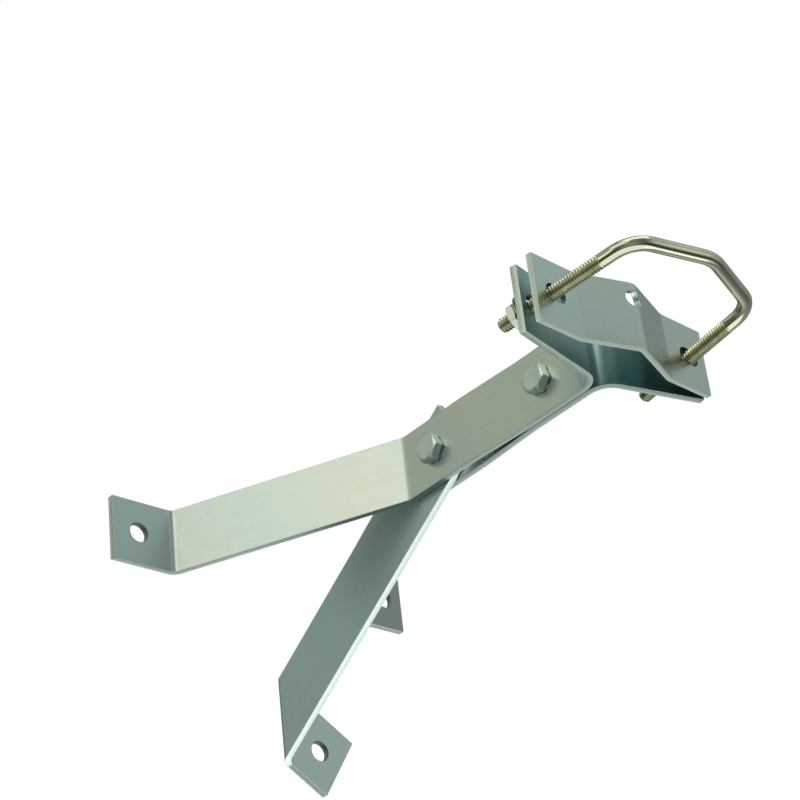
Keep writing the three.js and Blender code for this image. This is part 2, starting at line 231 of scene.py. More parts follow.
def sheet(name, outline, holes, place, columns, mats, body, node, thick=T, slots=(), tilt=None, edge=EDGE_R, rows=2.5):
    """A metal strip: its developed outline and holes, edges rounded all round, laid along `place`.
    Materials: one side, cut edge, walls of the holes listed in `slots` (a dark copy of the cut edge, painted shade),
    other side.
    place(s) gives the centre point (without z), the direction of travel and the direction across the thickness.
    tilt = (rotation, offset) when the outline is drawn in a frame turned against the one that is laid along `place`."""
    turn, shift = (np.eye(2), np.zeros(2)) if tilt is None else (np.array(tilt[0], float), np.array(tilt[1], float))
    loops = [outline] + holes
    nseg = 4
    prof = []
    for k in range(nseg + 1):
        a = math.pi / 2 * k / nseg
        prof.append((edge * (1 - math.sin(a)), thick / 2 - edge * (1 - math.cos(a)), a))   # offset, height, tilt
    prof += [(o, -h, math.pi - a) for o, h, a in reversed(prof)]
    P2, Tt, N2, Al, UV = [], [], [], [], []
    faces, ids, rim = [], [], []
    tops, bottoms = [], []
    count = 0
    for number, loop in enumerate(loops):
        d = unit(np.roll(loop, -1, 0) - loop)
        ne = np.stack([d[:, 1], -d[:, 0]], -1)
        nv = unit(ne + np.roll(ne, 1, 0))
        k = 1 / np.maximum(0.5, np.einsum("ij,ij->i", nv, ne))
        run = np.concatenate([[0], np.cumsum(np.linalg.norm(np.roll(loop, -1, 0) - loop, axis=1))[:-1]])
        n = len(loop)
        start = count
        for o, h, a in prof:
            P2.append(loop - nv * (o * k)[:, None])
            Tt.append(np.full(n, h))
            N2.append(nv)
            Al.append(np.full(n, a))
            UV.append(np.stack([run, np.full(n, h)], -1))
            count += n
        for j in range(len(prof) - 1):
            p, q = start + j * n, start + (j + 1) * n
            for i in range(n):
                i2 = (i + 1) % n
                faces.append((p + i, p + i2, q + i2, q + i))
                # the walls of the holes listed in slots take the dark material: painted shade
                ids.append(2 if number - 1 in slots else 1)
                rim.append(True)
        tops.append((start, n))
        bottoms.append((start + (len(prof) - 1) * n, n))
    P2, Tt, N2, Al, UV = [np.concatenate(v) for v in (P2, Tt, N2, Al, UV)]
    laid = outline @ turn.T + shift
    extra = np.array([(s, z) for s in columns for z in np.arange(laid[:, 1].min() + 0.9, laid[:, 1].max() - 0.5, rows)])
    extra = (extra - shift) @ turn
    keep = inside(outline, extra)
    for loop in loops:
        for q in loop[::2]:
            keep &= np.hypot(extra[:, 0] - q[0], extra[:, 1] - q[1]) > 0.85
    for h in holes:
        keep &= ~inside(h, extra)
    extra = extra[keep]
    base = len(P2)
    more_P, more_T, more_A = [], [], []
    for which, (rings, h, a) in enumerate(((tops, thick / 2, 0.0), (bottoms, -thick / 2, math.pi))):
        ids2, edges = [], []
        for start, n in rings:
            o = len(ids2)
            ids2 += list(range(start, start + n))
            edges += [(o + i, o + (i + 1) % n) for i in range(n)]
        own = len(ids2)
        co = [Vector(P2[i]) for i in ids2] + [Vector(e) for e in extra]
        v, _, f, orig, _, _ = delaunay_2d_cdt(co, edges, [], 0, 1e-7)
        back = {}
        for i, o in enumerate(orig):
            if not o:
                raise RuntimeError(name + ": the outline crosses itself")
            back[i] = ids2[o[0]] if o[0] < own else base + which * len(extra) + o[0] - own
        cen = np.array([[(v[t[0]][k] + v[t[1]][k] + v[t[2]][k]) / 3 for k in (0, 1)] for t in f])
        ok = inside(P2[rings[0][0]:rings[0][0] + rings[0][1]], cen)
        for start, n in rings[1:]:
            ok &= ~inside(P2[start:start + n], cen)
        for t, good in zip(f, ok):
            if good:
                q = [back[i] for i in t]
                faces.append(tuple(q) if which else tuple(reversed(q)))
                ids.append(3 * which)
                rim.append(False)
        more_P.append(extra)
        more_T.append(np.full(len(extra), h))
        more_A.append(np.full(len(extra), a))
    P = np.concatenate([P2] + more_P)
    Th = np.concatenate([Tt] + more_T)
    A = np.concatenate([Al] + more_A)
    NV = np.concatenate([N2, np.zeros((2 * len(extra), 2))])
    # face points carry the sheet's own coordinates, edge points the run along the edge
    uv = np.concatenate([UV, np.zeros((2 * len(extra), 2))])
    laid, NV = P @ turn.T + shift, NV @ turn.T
    centre, along, across = place(laid[:, 0])
    Z = np.array([0, 0, 1.0])
    pos = centre + across * Th[:, None] + laid[:, 1:2] * Z
    out = NV[:, 0:1] * along + NV[:, 1:2] * Z
    nor = unit(np.sin(A)[:, None] * out + np.cos(A)[:, None] * across)
    # face and edge polygons each have their own coordinates
    ids = np.array(ids)
    me_uv = []
    for k, f in enumerate(faces):
        ring = [uv[i] for i in f] if rim[k] else [P[i] for i in f]
        if rim[k]:
            us = [u[0] for u in ring]
            if max(us) - min(us) > 20:
                ring = [np.array([u[0] if u[0] > 20 else u[0] + max(us), u[1]]) for u in ring]
        me_uv.append(ring)
    tri = []
    for f in faces:
        tri += [(f[0], f[k], f[k + 1]) for k in range(1, len(f) - 1)]
    tri = np.array(tri)
    vol = np.einsum("ij,ij->i", pos[tri[:, 0]], np.cross(pos[tri[:, 1]], pos[tri[:, 2]])).sum()
    if vol < 0:
        faces = [tuple(reversed(f)) for f in faces]
        me_uv = [list(reversed(r)) for r in me_uv]
    me = bpy.data.meshes.new(name)
    me.from_pydata([tuple(v) for v in pos * 0.001], [], faces)
    for m in mats:
        me.materials.append(m)
    me.polygons.foreach_set("material_index", ids.astype(np.int32))
    me.polygons.foreach_set("use_smooth", np.ones(len(me.polygons), bool))
    layer = me.uv_layers.new(name="sheet")
    layer.data.foreach_set("uv", (np.concatenate([np.array(r, float) for r in me_uv]) * 0.01).astype(np.float32).ravel())
    me.update()
    me.normals_split_custom_set_from_vertices([tuple(v) for v in nor])
    ob = bpy.data.objects.new(name, me)
    bpy.context.scene.collection.objects.link(ob)
    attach(ob, body)
    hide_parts(node)
    return ob


def along_path(path, move=None):
    def place(s):
        p, t = path.at(s)
        z = np.zeros(len(p))
        c = np.stack([p[:, 0], p[:, 1], z], -1)
        a = np.stack([t[:, 0], t[:, 1], z], -1)
        n = np.stack([-t[:, 1], t[:, 0], z], -1)
        if move is not None:
            R, o = move
            c, a, n = c @ R.T + o, a @ R.T, n @ R.T
        return c, a, n
    return place


def bend_columns(path, step=0.35, flat=7.0):
    """Where a strip needs extra points: closely in its bends, widely on its flats."""
    cols = []
    for s0, s1, r in path.bends:
        k = max(2, int(math.ceil((s1 - s0) / max(step, r * 0.05))))
        cols += [s0 + (s1 - s0) * i / k for i in range(k + 1)]
    allc = sorted(cols)
    edges = [0.0] + allc + [path.length]
    for a, b in zip(edges, edges[1:]):
        if b - a > flat:
            k = int((b - a) / flat)
            cols += [a + (b - a) * (i + 1) / (k + 1) for i in range(k)]
    return sorted(c for c in cols if 0.9 < c < path.length - 0.9)


def fillet(P, radii, n=3):
    """Rounds the corners of profiles P[k] = (columns, 2), all columns together."""
    out = []
    for i, p in enumerate(P):
        r = radii.get(i, 0)
        if not r or i in (0, len(P) - 1):
            out.append(p)
            continue
        va, vb = P[i - 1] - p, P[i + 1] - p
        la, lb = np.linalg.norm(va, axis=1), np.linalg.norm(vb, axis=1)
        a, b = unit(va), unit(vb)
        half = np.arccos(np.clip(np.einsum("ij,ij->i", a, b), -1, 0.9999)) / 2
        t = np.minimum(r / np.tan(half), 0.45 * np.minimum(la, lb))
        rr = t * np.tan(half)
        C = p + unit(a + b) * (rr / np.maximum(np.sin(half), 1e-6))[:, None]
        e0, e1 = p + a * t[:, None] - C, p + b * t[:, None] - C
        for k in range(n + 1):
            e = e0 * (1 - k / n) + e1 * (k / n)
            out.append(C + unit(e) * rr[:, None])
    return out


def hex_angles(corner0):
    off = [0, 0.45, 0.9, 1.35, 2.2, 4, 7, 11, 16, 21, 25.5, 30]
    one = [-o for o in reversed(off[1:])] + off[:-1]
    a = sorted((corner0 + 60 * k + o) for k in range(6) for o in one)
    return np.radians(np.array(a))


def hex_radius(phi, corner0, af, rc=0.28):
    d = (np.degrees(phi) - corner0 + 30) % 60 - 30
    e = np.radians(np.abs(d))
    facet = af / 2 / np.cos(math.pi / 6 - e)
    D = (af / 2 - rc) / math.cos(math.pi / 6)
    disc = rc * rc - (D * np.sin(e)) ** 2
    circ = D * np.cos(e) + np.sqrt(np.maximum(disc, 0))
    et = math.atan(rc * 0.5 / (D + 0.866 * rc))
    return np.where(e < et, np.minimum(facet, circ), facet)


def lathe(rings, phi, matrix, close_profile=False):
    """Rings of (columns, 2) radius and height become vertices and faces. A ring of zero radius becomes one point."""
    M = len(phi)
    verts, start, pole = [], [], []
    R = np.array(matrix)[:3, :3]
    o = np.array(matrix)[:3, 3]
    for r in rings:
        start.append(len(verts))
        if np.all(r[:, 0] < 1e-9):
            pole.append(True)
            verts.append((0, 0, float(r[0, 1])))
        else:
            pole.append(False)
            verts += list(zip(r[:, 0] * np.cos(phi), r[:, 0] * np.sin(phi), r[:, 1]))
    faces = []
    n = len(rings)
    for k in range(n if close_profile else n - 1):
        a, b = k, (k + 1) % n
        for i in range(M):
            j = (i + 1) % M
            if pole[a]:
                faces.append((start[a], start[b] + j, start[b] + i))
            elif pole[b]:
                faces.append((start[a] + i, start[a] + j, start[b]))
            else:
                faces.append((start[a] + i, start[a] + j, start[b] + j, start[b] + i))
    v = np.array(verts, float) @ R.T + o
    return v, faces


def ring(phi, rho, z):
    rho = np.broadcast_to(np.asarray(rho, float), phi.shape)
    z = np.broadcast_to(np.asarray(z, float), phi.shape)
    return np.stack([rho, z], -1)


def thread_form(w, major, depth):
    """Radius of a thread at w, the distance from its crest as a share of half the pitch."""
    x = np.clip((w - 0.10) / 0.66, 0, 1)
    x = x * x * (3 - 2 * x) * 0.35 + x * 0.65
    return major - depth * x


# ---------------------------------------------------------------- materials
def node(nt, kind, **kw):
    n = nt.nodes.new(kind)
    for k, v in kw.items():
        setattr(n, k, v)
    return n


def math_node(nt, op, a, b=None, clamp=False):
    n = node(nt, "ShaderNodeMath", operation=op, use_clamp=clamp)
    for i, v in enumerate((a, b)):
        if v is None:
            continue
        if isinstance(v, (int, float)):
            n.inputs[i].default_value = v
        else:
            nt.links.new(v, n.inputs[i])
    return n.outputs[0]


def ramp(nt, fac, stops):
    n = node(nt, "ShaderNodeValToRGB")
    el = n.color_ramp.elements
    while len(el) < len(stops):
        el.new(0.5)
    for e, (p, c) in zip(el, stops):
        e.position = p
        e.color = (*c, 1) if len(c) == 3 else c
    nt.links.new(fac, n.inputs[0])
    return n.outputs[0]


def mix_colour(nt, fac, a, b, blend="MIX"):
    n = node(nt, "ShaderNodeMix", data_type="RGBA", blend_type=blend)
    for i, v in ((0, fac), (6, a), (7, b)):
        if isinstance(v, (int, float)):
            n.inputs[i].default_value = v
        elif isinstance(v, tuple):
            n.inputs[i].default_value = (*v, 1)
        else:
            nt.links.new(v, n.inputs[i])
    return n.outputs[2]


def map_range(nt, v, a, b, c, d):
    n = node(nt, "ShaderNodeMapRange")
    for i, x in enumerate((v, a, b, c, d)):
        if isinstance(x, (int, float)):
            n.inputs[i].default_value = x
        else:
            nt.links.new(x, n.inputs[i])
    return n.outputs[0]


def noise(nt, vec, scale, detail=3.0, rough=0.5, stretch=None, offset=(0, 0, 0)):
    if stretch is not None or any(offset):
        m = node(nt, "ShaderNodeMapping")
        m.inputs["Scale"].default_value = stretch or (1, 1, 1)
        m.inputs["Location"].default_value = offset
        nt.links.new(vec, m.inputs["Vector"])
        vec = m.outputs[0]
    n = node(nt, "ShaderNodeTexNoise")
    n.inputs["Scale"].default_value = scale
    n.inputs["Detail"].default_value = detail
    n.inputs["Roughness"].default_value = rough
    nt.links.new(vec, n.inputs["Vector"])
    return n.outputs["Fac"]


def new_material(name):
    m = bpy.data.materials.new(name)
    m.use_nodes = True
    nt = m.node_tree
    nt.nodes.clear()
    out = node(nt, "ShaderNodeOutputMaterial")
    p = node(nt, "ShaderNodeBsdfPrincipled")
    nt.links.new(p.outputs[0], out.inputs[0])
    p.inputs["Metallic"].default_value = 1.0
    return m, nt, p


def bump(nt, p, pieces):
    """Adds (height, strength, distance) bumps one after another."""
    last = None
    for h, s, d in pieces:
        b = node(nt, "ShaderNodeBump")
        b.inputs["Strength"].default_value = s
        b.inputs["Distance"].default_value = d
        nt.links.new(h, b.inputs["Height"])
        if last is not None:
            nt.links.new(last, b.inputs["Normal"])
        last = b.outputs[0]
    nt.links.new(last, p.inputs["Normal"])


def sheet_zinc(name, cool, mid, warm, rough=(0.24, 0.40), seed=0.0, zones=(), axis=(1.0, 0.0, 0.0)):
    """Bright zinc plate on cold-rolled strip. Coordinates are the strip's own: 1 unit is 100 mm along it."""
    m, nt, p = new_material(name)
    uv = node(nt, "ShaderNodeUVMap", uv_map="sheet").outputs[0]
    o = (seed, seed * 1.7, 0)
    cloud = noise(nt, uv, 5.5, 4, 0.55, (1, 1.4, 1), o)
    film = noise(nt, uv, 2.2, 2, 0.4, (1, 1.0, 1), (seed + 4, 2, 0))
    roll = noise(nt, uv, 1.0, 5, 0.65, (3.5, 520, 1), o)
    roll2 = noise(nt, uv, 1.0, 4, 0.6, (1.2, 60, 1), (seed + 9, 0, 0))
    grain = noise(nt, uv, 420, 2, 0.6, None)
    blot = noise(nt, uv, 24, 5, 0.7, (0.7, 1.6, 1), (0, seed, 0))
    base = ramp(nt, film, [(0.22, cool), (0.50, mid), (0.80, warm)])
    # soft cloudy passivation, a little darker in patches
    base = mix_colour(nt, map_range(nt, cloud, 0.38, 0.70, 0.0, 0.07), base, (cool[0] * 0.72, cool[1] * 0.78, cool[2] * 0.80))
    base = mix_colour(nt, map_range(nt, roll, 0.35, 0.75, 0.0, 0.11), base, (0.86, 0.90, 0.88))
    base = mix_colour(nt, map_range(nt, roll2, 0.50, 0.80, 0.0, 0.14), base, (cool[0] * 0.62, cool[1] * 0.66, cool[2] * 0.66))
    base = mix_colour(nt, map_range(nt, grain, 0.60, 0.80, 0.0, 0.08), base, (0.30, 0.34, 0.33))
    # sparse handling smudges and tiny stains
    stain = map_range(nt, blot, 0.64, 0.78, 0.0, 0.30)
    base = mix_colour(nt, stain, base, (0.50, 0.52, 0.47))
    # hairline scratches along and across
    sc1 = noise(nt, uv, 1.0, 2, 0.4, (14, 900, 1), (seed + 2, 5, 0))
    sc2m = node(nt, "ShaderNodeMapping")
    sc2m.inputs["Rotation"].default_value = (0, 0, 0.7)
    sc2m.inputs["Scale"].default_value = (9, 1100, 1)
    nt.links.new(uv, sc2m.inputs["Vector"])
    sc2 = noise(nt, sc2m.outputs[0], 1.0, 1, 0.3)
    scr = math_node(nt, "MAXIMUM", map_range(nt, sc1, 0.72, 0.78, 0, 1), map_range(nt, sc2, 0.77, 0.81, 0, 1))
    base = mix_colour(nt, math_node(nt, "MULTIPLY", scr, 0.35), base, (0.88, 0.90, 0.88))
    # painted shade and painted highlight: stretches of the strip darkened, tinted or lightened to stand in for the
    # shade and light at bends and on the flange: where one begins, where it is full, its tint
    place = node(nt, "ShaderNodeVectorMath", operation="DOT_PRODUCT")
    nt.links.new(uv, place.inputs[0])
    place.inputs[1].default_value = axis
    shade_along = math_node(nt, "ADD", place.outputs["Value"], math_node(nt, "MULTIPLY", cloud, 0.05))
    for begin, full, tint, share in zones:
        base = mix_colour(nt, map_range(nt, shade_along, begin + 0.025, full + 0.025, 0.0, share), base, tint)
    nt.links.new(base, p.inputs["Base Color"])
    r = map_range(nt, blot, 0.25, 0.75, rough[0], rough[1])
    r = math_node(nt, "ADD", r, map_range(nt, roll, 0.3, 0.8, -0.03, 0.05))
    r = math_node(nt, "ADD", r, math_node(nt, "MULTIPLY", stain, 0.35))
    r = math_node(nt, "SUBTRACT", r, math_node(nt, "MULTIPLY", scr, 0.10))
    nt.links.new(r, p.inputs["Roughness"])
    bump(nt, p, [
        (roll2, 0.16, 0.00005),
        (roll, 0.20, 0.00003),
        (grain, 0.04, 0.00002),
        (scr, 0.18, 0.00002),
    ])
    return m


def edge_zinc(name, light, dark, seed=0.0):
    """The sheared edge of the strip: brighter and rougher, with short marks across its thickness."""
    m, nt, p = new_material(name)
    uv = node(nt, "ShaderNodeUVMap", uv_map="sheet").outputs[0]
    tear = noise(nt, uv, 1.0, 4, 0.7, (260, 26, 1), (seed, 0, 0))
    wave = noise(nt, uv, 1.0, 3, 0.5, (9, 14, 1), (seed + 3, 0, 0))
    sep = node(nt, "ShaderNodeSeparateXYZ")
    nt.links.new(uv, sep.inputs[0])
    # the shear leaves a smooth band and a torn band
    band = map_range(nt, math_node(nt, "ADD", sep.outputs[1], math_node(nt, "MULTIPLY", wave, 0.006)), -0.004, 0.009, 0, 1)
    base = mix_colour(nt, band, dark, light)
    base = mix_colour(nt, map_range(nt, tear, 0.45, 0.75, 0, 0.32), base, (dark[0] * 0.6, dark[1] * 0.62, dark[2] * 0.6))
    base = mix_colour(nt, map_range(nt, wave, 0.5, 0.75, 0, 0.25), base, (0.80, 0.83, 0.80))
    nt.links.new(base, p.inputs["Base Color"])
    r = map_range(nt, tear, 0.3, 0.8, 0.26, 0.44)
    nt.links.new(r, p.inputs["Roughness"])
    bump(nt, p, [(tear, 0.35, 0.00008), (wave, 0.3, 0.0001)])
    return m


def hardware_zinc(name, light, mid, dark, rough=(0.16, 0.34), scale=1.0, grime=0.35):
    """Zinc-plated fasteners and rod. Coordinates are the object's own, in metres."""
    m, nt, p = new_material(name)
    tc = node(nt, "ShaderNodeTexCoord").outputs["Object"]
    cloud = noise(nt, tc, 130 * scale, 4, 0.6)
    fine = noise(nt, tc, 1500 * scale, 3, 0.6)
    tint = noise(nt, tc, 45 * scale, 2, 0.5, None, (3, 1, 7))
    base = ramp(nt, tint, [(0.32, light), (0.52, mid), (0.72, dark)])
    base = mix_colour(nt, map_range(nt, fine, 0.58, 0.80, 0, grime), base, (mid[0] * 0.35, mid[1] * 0.35, mid[2] * 0.30))
    base = mix_colour(nt, map_range(nt, cloud, 0.55, 0.75, 0, 0.30), base, (0.85, 0.87, 0.82))
    nt.links.new(base, p.inputs["Base Color"])
    r = map_range(nt, cloud, 0.30, 0.70, rough[0], rough[1])
    r = math_node(nt, "ADD", r, map_range(nt, fine, 0.4, 0.8, 0, 0.10))
    nt.links.new(r, p.inputs["Roughness"])
    bump(nt, p, [(cloud, 0.20, 0.00008), (fine, 0.20, 0.00002)])
    return m


def thread_zinc(name, light, mid, dark):
    """The same plate on cut thread, with painted highlight on the crests and painted shade in the valleys."""
    m, nt, p = new_material(name)
    tc = node(nt, "ShaderNodeTexCoord").outputs["Object"]
    at = node(nt, "ShaderNodeAttribute", attribute_name="depth")
    cloud = noise(nt, tc, 220, 4, 0.6)
    fine = noise(nt, tc, 1800, 3, 0.6)
    base = ramp(nt, cloud, [(0.30, light), (0.50, mid), (0.74, dark)])
    # painted shade: the thread darkens towards the bottom of its valleys
    valley_shade = map_range(nt, at.outputs["Fac"], 0.30, 1.0, 0.0, 0.50)
    base = mix_colour(nt, valley_shade, base, (0.115, 0.110, 0.065))
    # painted highlight: the thread's crests are lightened
    crest = map_range(nt, at.outputs["Fac"], 0.0, 0.22, 0.40, 0.0)
    base = mix_colour(nt, crest, base, (0.86, 0.86, 0.74))
    base = mix_colour(nt, map_range(nt, fine, 0.58, 0.8, 0, 0.35), base, (0.16, 0.15, 0.10))
    nt.links.new(base, p.inputs["Base Color"])
    r = math_node(nt, "ADD", map_range(nt, at.outputs["Fac"], 0.0, 1.0, 0.16, 0.36), map_range(nt, fine, 0.4, 0.8, 0, 0.12))
    nt.links.new(r, p.inputs["Roughness"])
    bump(nt, p, [(cloud, 0.2, 0.00006), (fine, 0.25, 0.00002)])
    return m


COOL, MID, WARM = (0.555, 0.655, 0.645), (0.595, 0.665, 0.615), (0.655, 0.675, 0.575)
# painted shade: each arm's flange is darkened to teal where it lies in shade behind the saddle
FLANGE = (2.34, 2.48, (0.31, 0.50, 0.51), 0.85)
# painted shade on the arms: a darker stretch at each foot bend; the right arm's copy has deeper painted shade at its
# foot bend and flange, and milder painted shade near its tip
M_ARM = sheet_zinc("zinc_arm", COOL, MID, WARM, (0.29, 0.34), 0.0, [(0.33, 0.27, (0.49, 0.585, 0.585), 0.85), FLANGE])
M_ARM_R = sheet_zinc("zinc_arm_right", COOL, MID, (0.60, 0.67, 0.62), (0.29, 0.34), 3.3, [(0.36, 0.25, (0.33, 0.37, 0.35), 0.92), (2.34, 2.48, (0.23, 0.385, 0.41), 0.88), (2.68, 2.82, (0.50, 0.62, 0.60), 0.85)])
# painted highlight: a lighter band across the brace at its fold
M_BRACE = sheet_zinc("zinc_brace", (0.41, 0.57, 0.62), (0.44, 0.59, 0.62), (0.49, 0.61, 0.60), (0.27, 0.34), 7.1,
                     [(1.176, 1.216, (0.60, 0.685, 0.65), 0.9)], (math.cos(BRACE_TILT), math.sin(BRACE_TILT), 0.0))
# painted shade: a narrow darker band at one of the saddle's kinks
M_SADDLE = sheet_zinc("zinc_saddle", (0.54, 0.65, 0.63), (0.57, 0.66, 0.62), (0.61, 0.665, 0.61), (0.24, 0.31), 11.9, [(0.745, 0.765, (0.545, 0.60, 0.545), 0.8)])
# painted shade: the saddle's back side, facing the flange, is a darker, bluer copy of its front
M_SADDLE_BACK_SHADE = sheet_zinc("zinc_saddle_back_shade", (0.40, 0.57, 0.58), (0.43, 0.59, 0.58), (0.48, 0.61, 0.57), (0.24, 0.31), 17.3)
M_EDGE = edge_zinc("zinc_edge", (0.70, 0.78, 0.72), (0.47, 0.55, 0.50))
# painted highlight: the brace's and saddle's cut edges are lighter copies of the arms' edge material
M_EDGE_BRACE = edge_zinc("zinc_edge_brace", (0.86, 0.92, 0.90), (0.72, 0.79, 0.77), 2.0)
M_EDGE_SADDLE = edge_zinc("zinc_edge_saddle", (0.84, 0.92, 0.88), (0.66, 0.74, 0.71), 5.0)
# painted shade: the walls of the holes and slots are a dark copy of the cut edge
M_HOLE_SHADE = edge_zinc("zinc_hole_shade", (0.26, 0.31, 0.29), (0.13, 0.16, 0.15), 8.0)
M_HARD = hardware_zinc("zinc_fastener", (0.72, 0.83, 0.84), (0.63, 0.73, 0.71), (0.54, 0.62, 0.59))
M_ROD = hardware_zinc("zinc_rod", (0.72, 0.71, 0.58), (0.62, 0.62, 0.47), (0.50, 0.51, 0.40), (0.07, 0.14), 0.7, 0.25)
M_NUT = hardware_zinc("zinc_nut", (0.64, 0.68, 0.62), (0.54, 0.58, 0.52), (0.46, 0.50, 0.44), (0.18, 0.34))
M_THREAD = thread_zinc("zinc_thread", (0.75, 0.75, 0.53), (0.59, 0.59, 0.38), (0.41, 0.42, 0.26))
M_THREAD_B = thread_zinc("zinc_thread_bolt", (0.66, 0.70, 0.66), (0.56, 0.61, 0.55), (0.46, 0.50, 0.46))

# ---------------------------------------------------------------- V-bolt frame
v_rot = np.array(Matrix.Rotation(V_PITCH, 3, "X") @ Matrix.Rotation(V_YAW, 3, "Z"))
v_pos = np.array(V_POS)


def leg_dir(side):
    return unit(v_rot @ np.array([side * math.sin(V_SPLAY), math.cos(V_SPLAY), 0]))


def leg_hit(side, p, n):
    o = v_rot @ np.array([side * V_CORNER, -V_DEPTH, 0]) + v_pos
    d = leg_dir(side)
    return o + d * (np.dot(np.asarray(p) - o, n) / np.dot(d, n))


def flange_normal(side):
    return unit(np.array([-side * TIP_SLOPE, -1.0, 0]))


# ---------------------------------------------------------------- arms
def make_arm(name, D, mat, body):
    s = D["side"]
    x_rear, x_front = s * (T / 2 + GAP + T / 2), s * (GAP / 2 + T / 2 + 0.03)
    p1, p2 = np.array([s * (T / 2 + GAP + T), STEM_Y_REAR]), np.array([s * D["foot_in"], -T])
    d = unit(p2 - p1)
    n = np.array([d[1], -d[0]])
    if n @ np.array([-s, 0]) < 0:
        n = -n
    q = p1 + n * T / 2
    foot, stem = q + d * ((-T / 2 - q[1]) / d[1]), q + d * ((x_rear - q[0]) / d[0])
    nf, al = flange_normal(s)[:2], unit(np.array([s, -TIP_SLOPE]))
    f0 = np.array([0, TIP_Y0]) - nf * T / 2
    root = f0 + al * ((x_front - f0[0]) / al[0])
    tip = f0 + al * ((s * D["tip"] - f0[0] - s * 0.3) / al[0])
    path = Path([(s * D["foot_out"], -T / 2, 0), (*foot, R_FOOT), (*stem, R_LEG), (x_rear, Y_BOLT_REAR - 20, 30.0),
                 (x_front, Y_BOLT_FRONT + 12, 30.0), (*root, R_FLANGE), (*tip, 0)])
    h = STRIP_W / 2
    outline = rounded([(0, -h), (path.length, -h), (path.length, h), (0, h)], CORNER_R)
    nf3 = flange_normal(s)
    hit = leg_hit(s, np.array([0, TIP_Y0, 0]) - nf3 * T / 2, nf3)
    c = hit[:2] - al * 1.5
    holes = [
        round_hole((abs(D["foot_out"] - D["hole"]), 0), FOOT_HOLE_R),
        round_hole((path.where(y=Y_BOLT_REAR), 0), BOLT_HOLE_R),
        round_hole((path.where(y=Y_BOLT_FRONT), 0), BOLT_HOLE_R),
        slot_hole((path.where(xy=c), 0), SLOT_LEN, SLOT_H),
    ]
    return sheet(name, outline, holes, along_path(path), bend_columns(path), [mat, M_EDGE, M_HOLE_SHADE, mat], body, name, slots=(0, 3))


make_arm("arm_left", LEFT, M_ARM, "frame").name = "arm_left_strip"
make_arm("arm_right", RIGHT, M_ARM_R, "frame").name = "arm_right_strip"


# ---------------------------------------------------------------- brace
def make_brace():
    c, s, lo, hi = math.cos(BRACE_TILT), math.sin(BRACE_TILT), BRACE_LO, BRACE_HI
    yc = -T / 2
    arc, h_fold = R_BRACE * math.pi / 2, yc - R_BRACE
    turn, shift = np.array([[c, s], [-s, c]]), np.array([Y_BOLT_REAR, 0.0])
    s_short = (-T - Y_BOLT_REAR - lo * s) / c
    L = s_short + BRACE_FOOT
    outline = rounded([(-BRACE_TOP, lo), (L, lo), (L, hi), (-BRACE_TOP, hi)], CORNER_R)

    def place(h):
        a = np.clip((h - h_fold) / arc, 0, 1) * math.pi / 2
        rest = np.maximum(0, h - h_fold - arc)
        flat = np.minimum(0, h - h_fold)
        z = np.zeros(len(h))
        cen = np.stack([R_BRACE - R_BRACE * np.cos(a) + rest, h_fold + R_BRACE * np.sin(a) + flat - 0.001, z], -1)
        al = np.stack([np.sin(a), np.cos(a), z], -1)
        ac = np.stack([-np.cos(a), np.sin(a), z], -1)
        return cen, al, ac

    x_hole = T / 2 + BRACE_HOLE * c
    h_hole = h_fold + arc + (x_hole - R_BRACE)
    z_hole = -s_short * s + lo * c + BRACE_HOLE_UP / c - BRACE_HOLE * s
    holes = [round_hole((0, 0), BOLT_HOLE_R), round_hole((np.array([h_hole, z_hole]) - shift) @ turn, FOOT_HOLE_R)]
    cols = [h_fold + arc * k / 20 for k in range(21)] + list(np.arange(Y_BOLT_REAR - 24, h_fold - 2, 7.0)) + list(np.arange(h_fold + arc + 3, h_fold + arc + 30, 6.0))
    ob = sheet("brace_strip", outline, holes, place, sorted(cols), [M_BRACE, M_EDGE_BRACE, M_HOLE_SHADE, M_BRACE], "brace", "brace_leg", slots=(1,), tilt=(turn, shift))
    return ob


make_brace()


# ---------------------------------------------------------------- saddle plate
def make_saddle():
    yaw = math.atan2(SADDLE_LIFT, LEFT["tip"] + RIGHT["tip"])
    path = Path([(-SADDLE_HALF, -T / 2, 0), (-SADDLE_KINK - 0.4, -T / 2, R_SADDLE), (0, -T / 2 - SADDLE_RISE, R_SADDLE + 1),
                 (SADDLE_KINK + 0.4, -T / 2, R_SADDLE), (SADDLE_HALF, -T / 2, 0)])
    R = np.array(Matrix.Rotation(yaw, 3, "Z"))
    o = np.array([(RIGHT["tip"] - LEFT["tip"]) / 2, SADDLE_Y_RIGHT - SADDLE_LIFT / 2, SADDLE_Z])
    h = STRIP_W / 2
    outline = rounded([(0, -h), (path.length, -h), (path.length, h), (0, h)], CORNER_R)
    nw = R @ np.array([0, -1.0, 0])
    holes = []
    for side in (-1, 1):
        hit = R.T @ (leg_hit(side, R @ np.array([0, -T / 2, 0]) + o, nw) - o)
        holes.append(slot_hole((path.where(xy=(hit[0] - side * SADDLE_SLOT["shift"], -T / 2)), hit[2]), SADDLE_SLOT["len"], SADDLE_SLOT["h"]))
    mid = path.length / 2
    holes.append(round_hole((mid + SADDLE_HOLE["u"] / math.cos(0.328), SADDLE_HOLE["z"] - SADDLE_Z), SADDLE_HOLE["r"]))
    return sheet("saddle_strip", outline, holes, along_path(path, (R, o)), bend_columns(path), [M_SADDLE_BACK_SHADE, M_EDGE_SADDLE, M_HOLE_SHADE, M_SADDLE], "saddle", "saddle_plate", SADDLE_T, slots=(0, 1))


make_saddle()


